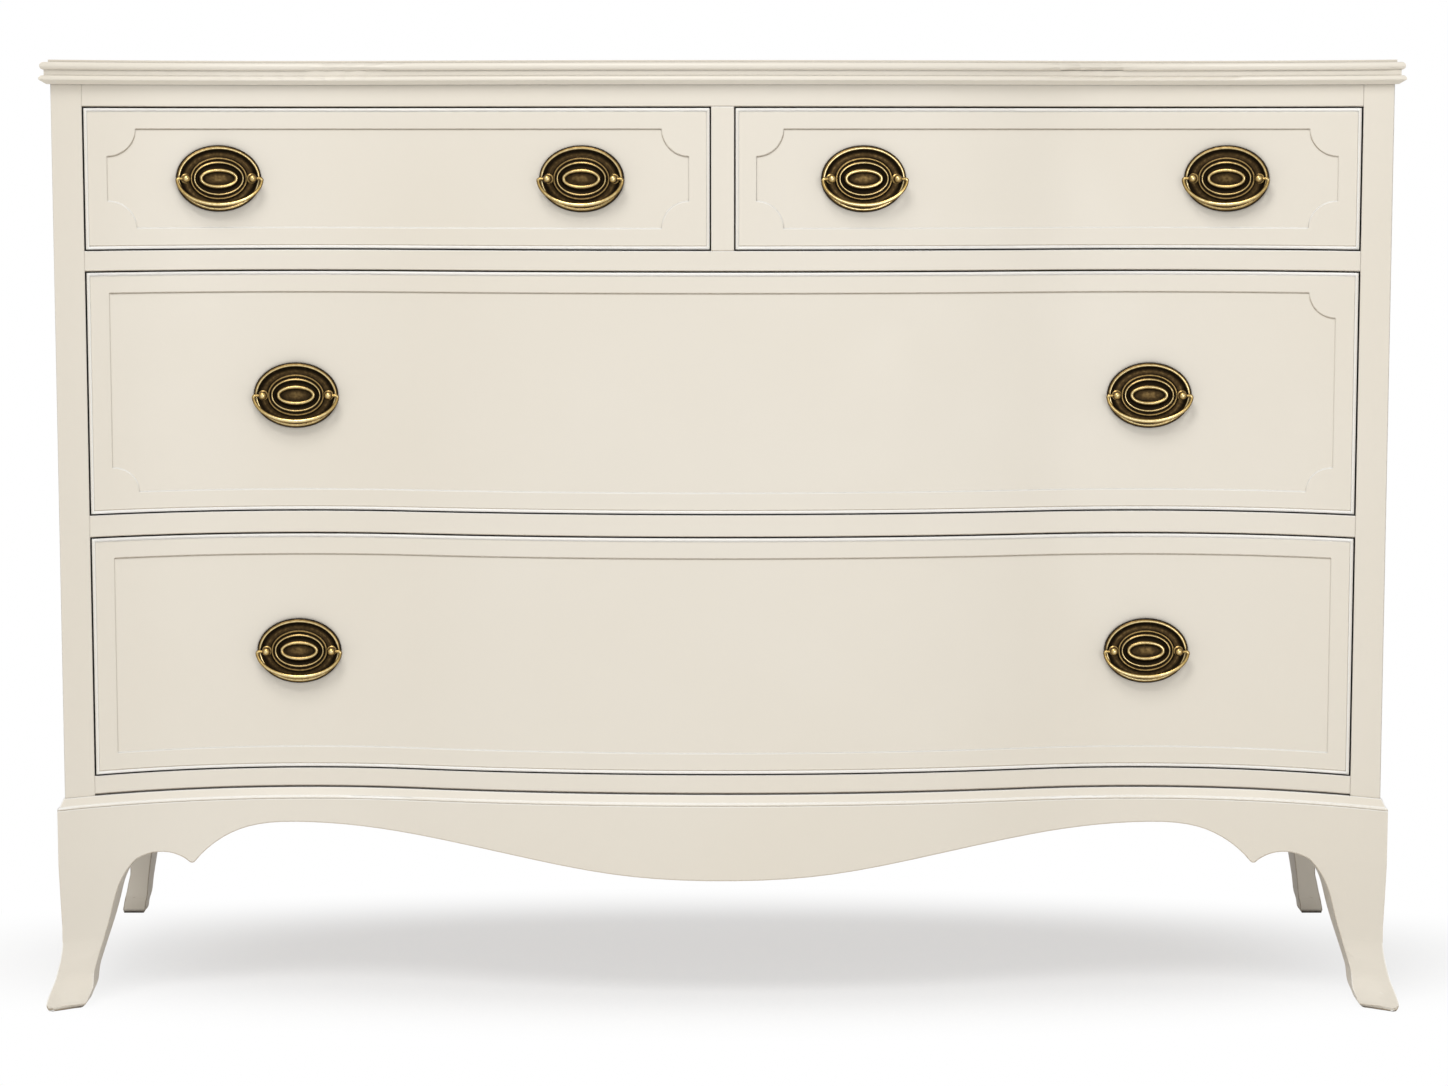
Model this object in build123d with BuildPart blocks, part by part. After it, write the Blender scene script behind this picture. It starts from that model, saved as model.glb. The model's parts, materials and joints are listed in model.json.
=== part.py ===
from build123d import *
from math import asin, atan2, cos, degrees, radians, sin, sqrt, tan
import os

os.makedirs("parts", exist_ok=True)

# A serpentine-front dresser with two short drawers over two long ones.
# Lengths are in millimetres. +Z is up and the front faces -Y. The origin is on the floor, under the middle of
# the whole dresser's box.

# Case: the body without its mouldings
case_width = 1250.0
case_depth = 520.0
hollow_from_end = 228.4  # from each end of the case to the deepest point of its hollow
hollow_radius = 390.2
crown = 51.6  # how far the middle swells out past the hollows

# Heights, from the floor up
base_height = 190.0
bottom_rail_height = 29.4
lower_opening = 228.5
middle_rail_height = 20.5
middle_opening = 230.2
upper_rail_height = 18.9
upper_opening = 134.5
top_rail_height = 20.5

# Top board and the half-round moulding under its overhang
under_moulding_height = 8.0
under_moulding_proud = 8.5
under_moulding_round = 3.2
under_moulding_taper = 5.5  # how far the lower half draws back towards the case
quirk_height = 5.0
quirk_proud = 4.6
top_bead_height = 7.3
top_bead_proud = 7.6
top_bead_round = 3.4
top_flat_height = 2.2
top_flat_proud = 1.4

# Base moulding, apron and feet
base_proud = 5.8
base_moulding_height = 10.5
base_bead_height = 3.0  # rounded shoulder at the moulding's lower edge
base_bead_round = 1.7
base_bead_step = 1.5  # from the shoulder's face back to where the slope starts
base_moulding_ledge = 1.2  # flat left at its top
shadow_gap_height = 1.6  # between the moulding and the bottom rail
shadow_gap_depth = 3.0
apron_thickness = 22.0
apron_middle_depth = 72.1  # the apron's depths are measured down from the top of the base
apron_high_depth = 22.7
cusp_depth = 59.8
cusp_from_foot = 51.8
cusp_round = 3.0
small_arch_depth = 47.4
small_arch_from_foot = 19.9
side_arch_depth = 28.0
foot_joint_depth = 53.4  # where the arches leave the feet
foot_reach = 67.5  # width of a front foot where it meets the apron
side_foot_reach = 100.0  # width of each foot seen from the side
rear_foot_reach = 42.0
front_wing_thickness = 54.0
side_wing_thickness = 30.0
toe_splay = 10.8
flare_depth = 51.0  # where the foot starts to draw in before it sweeps out
rear_rail_thickness = 20.0
rear_base_rail_height = 60.0

# Posts, panels and rails
post_width = 26.0
front_post_depth = 60.0
rear_post_depth = 40.0
side_thickness = 19.0
tongue_length = 6.0
tongue_thickness = 6.0
stile_width = 21.5
stile_depth = 50.0
rail_land = 26.2  # of the front rails, behind the deepest place of the hollows
rail_set_back = 0.3
rear_rail_depth = 19.0
back_thickness = 5.0
back_rebate = 10.0
runner_width = 45.0
guide_height = 20.0
stop_height = 6.0
stop_length = 30.0
stop_depth = 14.0
stop_place = 60.0  # of the inner stops of the short drawers, from the centre line
block_size = 42.0

# Drawers
front_gap = 1.5
running_gap = 0.3
front_thickness = 20.0
bead_width = 2.8
bead_depth = 6.0
bead_proud = 1.3
bead_round = 1.1
border_width = 21.0  # from the edge of the opening to the sunk field
field_depth = 0.9
short_scoop_radius = 25.5
long_scoop_radius = 23.5
drawer_side_thickness = 12.0
drawer_back_thickness = 12.0
drawer_rear_space = 40.0  # from the back of a drawer to the back of the case
side_drop = 6.0  # drawer sides are this much lower than the opening
bottom_thickness = 5.0
bottom_rise = 10.0  # from the edge of a drawer side up to its bottom
groove_depth = 6.0
fit_gap = 0.2
tail_length = 13.0
tail_spacing = 44.0
tail_angle = 10.0
tail_width_share = 0.6

# Pulls: oval backplates, ball-headed posts and hanging bails
post_spacing = 62.4
plate_length = 80.6
plate_height = 62.6
plate_base = 1.8
rim_width = 5.0
rim_height = 4.0
ring_length = 51.0
ring_height = 38.5
ring_width = 4.4
ring_rise = 3.9
boss_length = 36.0
boss_height = 20.0
boss_width = 3.6
boss_rise = 4.4
ridge_chamfer = 1.3
seat_gap = 0.1
short_pull_inset = 121.625  # from the ends of a short drawer's opening to the middles of its pulls
long_pull_inset = 191.5
middle_pull_drop = 4.2  # the middle drawer's pulls hang this much below its centre
bail_stand = 10.0  # from the back of the plate to the bail's axis
bail_radius = 2.1
bail_half_length = 40.0
bail_drop = 26.5
pin_radius = 1.4
pin_gap = 0.06
pin_depth = 2.8
ball_radius = 4.1
neck_radius = 2.6
shank_radius = 2.0
shank_gap = 0.15
nut_width = 8.0
nut_height = 3.0
thread_end = 2.0

# Back-panel screws
screw_head_radius = 4.0
screw_head_height = 1.6
screw_radius = 1.7
screw_length = 16.0
thread_gap = 0.05
screw_inset = 5.0
screw_rows = 6

# One overrun for every cut that has to come right through
overrun = 5.0

# Worked-out sizes of the plan. The middle is a convex arc and each end a hollow one, tangent to it.
hollow_place = case_width / 2 - hollow_from_end
centre_distance = (hollow_place**2 + crown**2) / (2 * crown)
middle_radius = centre_distance - hollow_radius
turn_share = hollow_place / centre_distance
hollow_depth = hollow_radius - sqrt(hollow_radius**2 - hollow_from_end**2)
toe_proud = base_proud + toe_splay
toe_across = hollow_from_end + toe_proud
toe_reach = hollow_radius - sqrt((hollow_radius - toe_proud) ** 2 - toe_across**2) - hollow_depth
front_corner_y = toe_reach - (case_depth + toe_reach) / 2
hollow_y = front_corner_y + hollow_depth
case_back_y = front_corner_y + case_depth

# Worked-out heights
apron_middle_height = base_height - apron_middle_depth
apron_high_height = base_height - apron_high_depth
cusp_height = base_height - cusp_depth
foot_joint_height = base_height - foot_joint_depth
flare_height = base_height - flare_depth
lower_z = base_height + bottom_rail_height
middle_rail_z = lower_z + lower_opening
middle_z = middle_rail_z + middle_rail_height
upper_rail_z = middle_z + middle_opening
upper_z = upper_rail_z + upper_rail_height
top_rail_z = upper_z + upper_opening
moulding_z = top_rail_z + top_rail_height
top_underside = moulding_z + under_moulding_height
bead_z = top_underside + quirk_height
flat_z = bead_z + top_bead_height

# Worked-out places across and along the case
half_case = case_width / 2
half_opening = half_case - post_width
panel_inside = half_case - side_thickness
rail_back_y = hollow_y + rail_land
post_back_y = front_corner_y + front_post_depth
rear_post_y = case_back_y - rear_post_depth
rear_rail_y = case_back_y - back_thickness - rear_rail_depth
foot_joint_x = half_case + base_proud - foot_reach
rear_joint_x = half_case + base_proud - rear_foot_reach
rear_joint_y = case_back_y - side_foot_reach
cusp_place = foot_joint_x - cusp_from_foot
drawer_back_y = case_back_y - drawer_rear_space


def front_y(x, proud):
    """Y of a face that stands proud of the case front (less than zero: behind it) at a place across."""
    across = abs(x)
    if across <= (middle_radius + proud) * turn_share:
        return hollow_y - crown + middle_radius - sqrt((middle_radius + proud) ** 2 - across**2)
    return hollow_y - hollow_radius + sqrt((hollow_radius - proud) ** 2 - (across - hollow_place) ** 2)


def front_point(x, proud):
    return (x, front_y(x, proud))


def serpentine(x_from, x_to, proud):
    """The arcs of the front between two places across, for the line being drawn."""
    turn = (middle_radius + proud) * turn_share
    knots = [x_from] + [knot for knot in (-turn, turn) if x_from < knot < x_to] + [x_to]
    for start, end in zip(knots, knots[1:]):
        middle = (start + end) / 2
        ThreePointArc(front_point(start, proud), front_point(middle, proud), front_point(end, proud))


def bowed_band(x_from, x_to, front_proud, back_proud):
    """Plan of a board that follows the front on both its faces."""
    serpentine(x_from, x_to, front_proud)
    serpentine(x_from, x_to, back_proud)
    Line(front_point(x_from, front_proud), front_point(x_from, back_proud))
    Line(front_point(x_to, front_proud), front_point(x_to, back_proud))


def bowed_board(x_from, x_to, proud, back_y):
    """Plan of a board with a bowed front edge and a straight back edge."""
    serpentine(x_from, x_to, proud)
    Polyline(front_point(x_to, proud), (x_to, back_y), (x_from, back_y), front_point(x_from, proud))


def case_outline(proud):
    """Plan of the whole case, standing proud at the front and both sides."""
    bowed_board(-half_case - proud, half_case + proud, proud, case_back_y)


def slope_angle(run, rise):
    """The taper that draws a side in by a run over a rise."""
    return degrees(atan2(run, rise))


def save(part, name):
    part.label = name
    export_step(part, f"parts/{name}.step")


# Top board: a flat over a bead over a quirk, all following the serpentine

with BuildPart() as top_panel:
    with BuildSketch(Plane.XY.offset(bead_z)):
        with BuildLine():
            case_outline(top_bead_proud)
        make_face()
    extrude(amount=top_bead_height)
    bead_edges = top_panel.edges().group_by(Axis.Z)
    fillet(bead_edges[-1].sort_by(Axis.Y)[:-1] + bead_edges[0].sort_by(Axis.Y)[:-1], radius=top_bead_round)
    with BuildSketch(Plane.XY.offset(top_underside)):
        with BuildLine():
            case_outline(quirk_proud)
        make_face()
    extrude(amount=quirk_height)
    with BuildSketch(Plane.XY.offset(flat_z)):
        with BuildLine():
            case_outline(top_flat_proud)
        make_face()
    extrude(amount=top_flat_height)
save(top_panel.part, "top_panel")

# Mouldings: a half-round under the top's overhang and a sloped one round the foot of the case

with BuildPart() as top_moulding:
    with BuildSketch(Plane.XY.offset(moulding_z + under_moulding_height / 2)):
        with BuildLine():
            case_outline(under_moulding_proud)
        make_face()
    extrude(amount=under_moulding_height / 2)
    upper_edges = top_moulding.edges().group_by(Axis.Z)[-1].sort_by(Axis.Y)[:-1]
    fillet(upper_edges, radius=under_moulding_round)
    with BuildSketch(Plane.XY.offset(moulding_z + under_moulding_height / 2)):
        with BuildLine():
            case_outline(under_moulding_proud)
        make_face()
    lower_half = under_moulding_height / 2
    extrude(amount=-lower_half, taper=slope_angle(under_moulding_taper, lower_half))
    with BuildSketch(Plane.XY.offset(moulding_z)):
        with BuildLine():
            bowed_board(-half_case, half_case, 0, case_back_y + overrun)
        make_face()
    extrude(amount=under_moulding_height, mode=Mode.SUBTRACT)
save(top_moulding.part, "top_moulding")

with BuildPart() as base_moulding:
    with BuildSketch(Plane.XY.offset(base_height)):
        with BuildLine():
            case_outline(base_proud)
        make_face()
    extrude(amount=base_bead_height)
    shoulder_edges = base_moulding.edges().group_by(Axis.Z)[-1].sort_by(Axis.Y)[:-1]
    fillet(shoulder_edges, radius=base_bead_round)
    slope_rise = base_moulding_height - base_bead_height
    slope_proud = base_proud - base_bead_step
    with BuildSketch(Plane.XY.offset(base_height + base_bead_height)):
        with BuildLine():
            case_outline(slope_proud)
        make_face()
    extrude(amount=slope_rise, taper=slope_angle(slope_proud - base_moulding_ledge, slope_rise))
    with BuildSketch(Plane.XY.offset(base_height)):
        with BuildLine():
            bowed_board(-half_case, half_case, 0, case_back_y + overrun)
        make_face()
    extrude(amount=base_moulding_height, mode=Mode.SUBTRACT)
save(base_moulding.part, "base_moulding")

# Front rails and centre stile


def front_rail(name, z_low, z_high, gap_z=None):
    """A rail between the posts, set back a little, with a thin shadow gap above gap_z if it has one."""
    with BuildPart() as rail:
        with BuildSketch(Plane.XY.offset(z_low)):
            with BuildLine():
                bowed_board(-half_opening, half_opening, -rail_set_back, rail_back_y)
            make_face()
        extrude(amount=z_high - z_low)
        if gap_z is not None:
            with BuildSketch(Plane.XY.offset(gap_z)):
                with BuildLine():
                    bowed_band(-half_opening, half_opening, 0, -shadow_gap_depth)
                make_face()
            extrude(amount=shadow_gap_height, mode=Mode.SUBTRACT)
    save(rail.part, name)


front_rail("bottom_rail", base_height, lower_z, gap_z=base_height + base_moulding_height)
front_rail("middle_rail", middle_rail_z, middle_z)
front_rail("upper_rail", upper_rail_z, upper_z)
front_rail("top_rail", top_rail_z, top_underside)

stile_back_y = front_y(0, 0) + stile_depth
with BuildPart() as center_stile:
    with BuildSketch(Plane.XY.offset(upper_z)):
        with BuildLine():
            bowed_board(-stile_width / 2, stile_width / 2, -rail_set_back, stile_back_y)
        make_face()
    extrude(amount=upper_opening)
save(center_stile.part, "center_stile")

# Corner posts and side panels: each panel's tongues stand in grooves along the posts

post_height = top_underside - base_height
tongue_x = half_case - side_thickness / 2
tongue_middle_y = post_back_y - tongue_length / 2
panel_length = rear_post_y - post_back_y
panel_middle_y = (post_back_y + rear_post_y) / 2
back_half = half_opening + back_rebate - fit_gap
screw_pitch = (post_height - 2 * screw_inset) / (screw_rows - 1)
with BuildPart() as front_posts:
    for post_from, post_to in ((-half_case, -half_opening), (half_opening, half_case)):
        with BuildSketch(Plane.XY.offset(base_height)):
            with BuildLine():
                bowed_board(post_from, post_to, 0, post_back_y)
            make_face()
            with Locations((-tongue_x, tongue_middle_y), (tongue_x, tongue_middle_y)):
                Rectangle(tongue_thickness, tongue_length, mode=Mode.SUBTRACT)
        extrude(amount=post_height)
save(front_posts.part, "front_posts")

post_middle_x = half_case - post_width / 2
with BuildPart() as rear_posts:
    with BuildSketch(Plane.XY.offset(base_height)):
        with GridLocations(2 * post_middle_x, 0, 2, 1):
            with Locations((0, case_back_y - rear_post_depth / 2)):
                Rectangle(post_width, rear_post_depth)
        with GridLocations(2 * tongue_x, 0, 2, 1):
            with Locations((0, rear_post_y + tongue_length / 2)):
                Rectangle(tongue_thickness, tongue_length, mode=Mode.SUBTRACT)
        with Locations((0, case_back_y)):
            Rectangle(2 * (half_opening + back_rebate), 2 * back_thickness, mode=Mode.SUBTRACT)
    extrude(amount=post_height)
    with BuildSketch(Plane.XZ.offset(-case_back_y)):
        with Locations((0, base_height + post_height / 2)):
            with GridLocations(2 * (back_half - screw_inset), screw_pitch, 2, screw_rows):
                Circle(screw_radius + thread_gap)
    extrude(amount=screw_length, mode=Mode.SUBTRACT)
save(rear_posts.part, "rear_posts")

with BuildPart() as side_panels:
    with BuildSketch(Plane.XY.offset(base_height)):
        with Locations((-tongue_x, panel_middle_y), (tongue_x, panel_middle_y)):
            Rectangle(side_thickness, panel_length)
            Rectangle(tongue_thickness, panel_length + 2 * (tongue_length - fit_gap))
    extrude(amount=post_height)
save(side_panels.part, "side_panels")

# Back panel in its rebates, with its screws

with BuildPart() as back_panel:
    with BuildSketch(Plane.XZ.offset(-case_back_y)):
        with Locations((0, base_height + post_height / 2)):
            Rectangle(2 * back_half, post_height)
            with GridLocations(2 * (back_half - screw_inset), screw_pitch, 2, screw_rows):
                Circle(screw_radius + fit_gap, mode=Mode.SUBTRACT)
    extrude(amount=back_thickness)
save(back_panel.part, "back_panel")

with BuildPart() as back_screws:
    with BuildSketch(Plane.XZ.offset(-case_back_y)):
        with Locations((0, base_height + post_height / 2)):
            with GridLocations(2 * (back_half - screw_inset), screw_pitch, 2, screw_rows):
                Circle(screw_radius)
    extrude(amount=screw_length)
    with BuildSketch(Plane.XZ.offset(-case_back_y)):
        with Locations((0, base_height + post_height / 2)):
            with GridLocations(2 * (back_half - screw_inset), screw_pitch, 2, screw_rows):
                Circle(screw_head_radius)
    extrude(amount=-screw_head_height)
save(back_screws.part, "back_screws")

# Rear rails, runners, kickers and guides

rail_levels = (
    (base_height, lower_z),
    (middle_rail_z, middle_z),
    (upper_rail_z, upper_z),
    (top_rail_z, top_underside),
)
runner_length = rear_rail_y - rail_back_y
runner_y = (rear_rail_y + rail_back_y) / 2
side_runner_x = half_opening - runner_width / 2
with BuildPart() as rear_rails:
    for z_low, z_high in rail_levels:
        with BuildSketch(Plane.XY.offset(z_low)):
            with Locations((0, rear_rail_y + rear_rail_depth / 2)):
                Rectangle(2 * half_opening, rear_rail_depth)
        extrude(amount=z_high - z_low)
save(rear_rails.part, "rear_rails")

with BuildPart() as drawer_runners:
    for level, (z_low, z_high) in enumerate(rail_levels):
        with BuildSketch(Plane.XY.offset(z_low)):
            with Locations((-side_runner_x, runner_y), (side_runner_x, runner_y)):
                Rectangle(runner_width, runner_length)
            if level > 1:
                with Locations((0, runner_y)):
                    Rectangle(runner_width, runner_length)
        extrude(amount=z_high - z_low)
save(drawer_runners.part, "drawer_runners")

guide_inside = half_opening - front_gap + running_gap
guide_middle = (panel_inside + guide_inside) / 2
center_guide_width = stile_width + 2 * (front_gap - running_gap)
with BuildPart() as drawer_guides:
    for z_low in (lower_z, middle_z, upper_z):
        with BuildSketch(Plane.XY.offset(z_low)):
            with Locations((-guide_middle, panel_middle_y), (guide_middle, panel_middle_y)):
                Rectangle(panel_inside - guide_inside, panel_length)
            if z_low == upper_z:
                with Locations((0, (stile_back_y + rear_rail_y) / 2)):
                    Rectangle(center_guide_width, rear_rail_y - stile_back_y)
        extrude(amount=guide_height)
save(drawer_guides.part, "drawer_guides")

# Stop blocks on the rails, just behind the drawer fronts

stop_places = (
    (lower_z, -hollow_place),
    (lower_z, hollow_place),
    (middle_z, -hollow_place),
    (middle_z, hollow_place),
    (upper_z, -hollow_place),
    (upper_z, -stop_place),
    (upper_z, stop_place),
    (upper_z, hollow_place),
)
with BuildPart() as drawer_stops:
    for z_low, place in stop_places:
        stop_span = (place - stop_length / 2, place, place + stop_length / 2)
        touch = max(front_y(x, -front_thickness) for x in stop_span) + running_gap
        with BuildSketch(Plane.XY.offset(z_low)):
            with Locations((place, touch + stop_depth / 2)):
                Rectangle(stop_length, stop_depth)
        extrude(amount=stop_height)
save(drawer_stops.part, "drawer_stops")

# Base: front apron with its cyma and cusps, side aprons, rear rail

# The long cyma from a cusp to the middle: shares of the cusp's place and of the cyma's rise
cyma_shares = (
    (0.967, 0.557),
    (0.911, 0.877),
    (0.799, 1.0),
    (0.647, 0.885),
    (0.494, 0.648),
    (0.342, 0.348),
    (0.192, 0.099),
)
with BuildPart() as front_apron:
    with BuildSketch(Plane.XY.offset(apron_middle_height - overrun)):
        with BuildLine():
            bowed_band(-foot_joint_x, foot_joint_x, base_proud, base_proud - apron_thickness)
        make_face()
    extrude(amount=base_height - apron_middle_height + overrun)
    with BuildSketch(Plane.XZ.offset(-case_back_y)):
        with BuildLine():
            cusp_start = cusp_place - cusp_round
            cusp_end = cusp_place + cusp_round
            cusp_shoulder = cusp_height + cusp_round / 2
            for side in (-1, 1):
                ThreePointArc(
                    (side * foot_joint_x, foot_joint_height),
                    (side * (foot_joint_x - small_arch_from_foot), base_height - small_arch_depth),
                    (side * cusp_end, cusp_shoulder),
                )
                ThreePointArc(
                    (side * cusp_end, cusp_shoulder),
                    (side * cusp_place, cusp_height),
                    (side * cusp_start, cusp_shoulder),
                )
            cyma_rise = apron_high_height - apron_middle_height
            cyma = [(cusp_place * across, apron_middle_height + cyma_rise * up) for across, up in cyma_shares]
            Spline(
                (-cusp_start, cusp_shoulder),
                *[(-across, up) for across, up in cyma],
                (0, apron_middle_height),
                *cyma[::-1],
                (cusp_start, cusp_shoulder),
            )
            Polyline(
                (-foot_joint_x, foot_joint_height),
                (-foot_joint_x, base_height),
                (foot_joint_x, base_height),
                (foot_joint_x, foot_joint_height),
            )
        make_face()
    extrude(amount=case_depth + toe_reach, mode=Mode.INTERSECT)
save(front_apron.part, "front_apron")

side_joint_y = front_y(half_case + base_proud, base_proud) + side_foot_reach
with BuildPart() as side_aprons:
    for face_x in (-half_case - base_proud, half_case + base_proud - apron_thickness):
        with BuildSketch(Plane.YZ.offset(face_x)):
            with BuildLine():
                side_arch = ThreePointArc(
                    (side_joint_y, foot_joint_height),
                    ((side_joint_y + rear_joint_y) / 2, base_height - side_arch_depth),
                    (rear_joint_y, foot_joint_height),
                )
                Polyline(
                    side_arch @ 1,
                    (rear_joint_y, base_height),
                    (side_joint_y, base_height),
                    side_arch @ 0,
                )
            make_face()
        extrude(amount=apron_thickness)
save(side_aprons.part, "side_aprons")

with BuildPart() as rear_base_rail:
    with BuildSketch(Plane.XY.offset(base_height - rear_base_rail_height)):
        with Locations((0, case_back_y - rear_rail_thickness / 2)):
            Rectangle(2 * rear_joint_x, rear_rail_thickness)
    extrude(amount=rear_base_rail_height)
save(rear_base_rail.part, "rear_base_rail")

# Feet: two wings that meet at the corner. Their outer faces sweep out towards the toe, and their inner edges
# are sawn to the curve that runs on into the arches.

# Shares of the flare's height and of the toe's splay, from the top of the flare down to the floor
flare_shares = (
    (1.0, 0.0),
    (0.76, -0.09),
    (0.57, -0.17),
    (0.45, -0.17),
    (0.33, -0.05),
    (0.265, 0.19),
    (0.19, 0.42),
    (0.125, 0.67),
    (0.058, 0.91),
    (0.03, 1.0),
    (0.0, 0.94),
)
# Shares of the joint's height and of the foot's reach, down a wing's inner edge
wing_shares = (
    (0.825, 0.769),
    (0.618, 0.653),
    (0.426, 0.542),
    (0.21, 0.427),
    (0.135, 0.39),
    (0.073, 0.327),
    (0.0, 0.25),
)


def foot_section(proud, back):
    """Plan of the two wings, for outer faces that stand proud; a rear foot is straight at the back."""
    outer_x = -half_case - proud
    inner_x = outer_x + side_wing_thickness
    if back:
        Polyline(
            (outer_x, case_back_y),
            (-rear_joint_x, case_back_y),
            (-rear_joint_x, case_back_y - rear_rail_thickness),
            (inner_x, case_back_y - rear_rail_thickness),
            (inner_x, rear_joint_y),
            (outer_x, rear_joint_y),
            (outer_x, case_back_y),
        )
    else:
        serpentine(outer_x, -foot_joint_x, proud)
        Polyline(
            front_point(-foot_joint_x, proud),
            (-foot_joint_x, front_y(foot_joint_x, proud) + front_wing_thickness),
            (inner_x, front_y(inner_x, proud) + front_wing_thickness),
            (inner_x, side_joint_y),
            (outer_x, side_joint_y),
            front_point(outer_x, proud),
        )


def wing_edge(corner, reach):
    """The curve of a wing's inner edge, and the space beyond it that is sawn away."""
    inward = reach / abs(reach)
    edge = [(corner + reach * across, foot_joint_height * up) for up, across in wing_shares]
    joint = (corner + reach, foot_joint_height)
    Spline(joint, *edge, tangents=((-inward, -1), (-inward, -1)))
    Polyline(
        edge[-1],
        (edge[-1][0], -overrun),
        (corner + reach + inward * overrun, -overrun),
        (corner + reach + inward * overrun, foot_joint_height),
        joint,
    )


for back in (False, True):
    with BuildPart() as left_foot:
        for height_share, splay_share in flare_shares:
            with BuildSketch(Plane.XY.offset(flare_height * height_share)):
                with BuildLine():
                    foot_section(base_proud + toe_splay * splay_share, back)
                make_face()
        loft(ruled=True)
        with BuildSketch(Plane.XY.offset(flare_height)):
            with BuildLine():
                foot_section(base_proud, back)
            make_face()
        extrude(amount=flare_depth)
        with BuildSketch(Plane.XZ.offset(-case_back_y - overrun)):
            with BuildLine():
                wing_edge(-half_case - base_proud, rear_foot_reach if back else foot_reach)
            make_face()
        extrude(amount=case_depth + toe_reach + 2 * overrun, mode=Mode.SUBTRACT)
        side_corner = case_back_y if back else side_joint_y - side_foot_reach
        with BuildSketch(Plane.YZ.offset(-half_case - toe_proud - overrun)):
            with BuildLine():
                wing_edge(side_corner, -side_foot_reach if back else side_foot_reach)
            make_face()
        extrude(amount=half_case, mode=Mode.SUBTRACT)
    if back:
        with BuildPart() as rear_feet:
            add(left_foot.part)
            mirror(left_foot.part, about=Plane.YZ)
        save(rear_feet.part, "rear_feet")
    else:
        save(left_foot.part, "front_left_foot")
        with BuildPart() as right_foot:
            mirror(left_foot.part, about=Plane.YZ)
        save(right_foot.part, "front_right_foot")

# Glue blocks in the corners of the base

block_x = half_case + base_proud - side_wing_thickness
block_front_y = front_y(block_x, base_proud) + front_wing_thickness
with BuildPart() as glue_blocks:
    for side in (-1, 1):
        with BuildSketch(Plane.XY.offset(flare_height)):
            with BuildLine():
                wing_slope_y = front_y(foot_joint_x, base_proud) + front_wing_thickness
                Polyline(
                    (side * block_x, block_front_y),
                    (side * block_x, block_front_y + block_size),
                    (side * foot_joint_x, block_front_y + block_size),
                    (side * foot_joint_x, wing_slope_y),
                    close=True,
                )
            make_face()
        extrude(amount=flare_depth)
        with BuildSketch(Plane.XY.offset(flare_height)):
            rear_block_y = case_back_y - rear_rail_thickness - block_size / 2
            with Locations((side * (block_x - block_size / 2), rear_block_y)):
                Rectangle(block_size, block_size)
        extrude(amount=flare_depth)
save(glue_blocks.part, "glue_blocks")

# Pulls. A seat is the plane of a plate's back: it touches the sunk field, and lies along the bow there.


def pull_seat(x, z):
    half = plate_length / 2
    left_y = front_y(x - half, -field_depth)
    right_y = front_y(x + half, -field_depth)
    angle = asin((right_y - left_y) / sqrt((right_y - left_y) ** 2 + plate_length**2))
    seat_y = min((left_y + right_y) / 2, front_y(x, -field_depth)) - seat_gap
    return Plane(origin=(x, seat_y, z), x_dir=(cos(angle), sin(angle), 0), z_dir=(sin(angle), -cos(angle), 0))


def nut_place(seat, across):
    """How far behind the seat the back of the drawer front lies, at a post."""
    post = seat.from_local_coords(Vector(across, 0, 0))
    back = Vector(post.X, front_y(post.X, -front_thickness), post.Z)
    return -seat.to_local_coords(back).Z


half_spacing = post_spacing / 2
with BuildPart() as plate:
    with BuildSketch():
        Ellipse(plate_length / 2, plate_height / 2)
        with Locations((-half_spacing, 0), (half_spacing, 0)):
            Circle(shank_radius + shank_gap, mode=Mode.SUBTRACT)
    extrude(amount=plate_base)
    for length, height, width, top in (
        (plate_length, plate_height, rim_width, rim_height),
        (ring_length, ring_height, ring_width, ring_rise),
        (boss_length, boss_height, boss_width, boss_rise),
    ):
        with BuildSketch(Plane.XY.offset(plate_base)):
            Ellipse(length / 2, height / 2)
            Ellipse(length / 2 - width, height / 2 - width, mode=Mode.SUBTRACT)
        extrude(amount=top - plate_base)
        chamfer(plate.faces(Select.LAST).sort_by(Axis.Z)[-1].edges(), length=ridge_chamfer)

with BuildPart() as bail:
    with BuildLine(Plane.XY.offset(bail_stand)) as bow:
        EllipticalCenterArc((0, 0), bail_half_length, bail_drop, start_angle=180, arc_size=180)
    with BuildSketch(Plane(origin=bow.line @ 0, z_dir=bow.line % 0)):
        Circle(bail_radius)
    sweep(path=bow.line)
    for pin_side in (-1, 1):
        with Locations((pin_side * bail_half_length, 0, bail_stand)):
            Sphere(bail_radius)
        with BuildSketch(Plane.YZ.offset(pin_side * bail_half_length)):
            with Locations((0, bail_stand)):
                Circle(pin_radius)
        extrude(amount=-pin_side * (bail_half_length - half_spacing - ball_radius + pin_depth))


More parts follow.
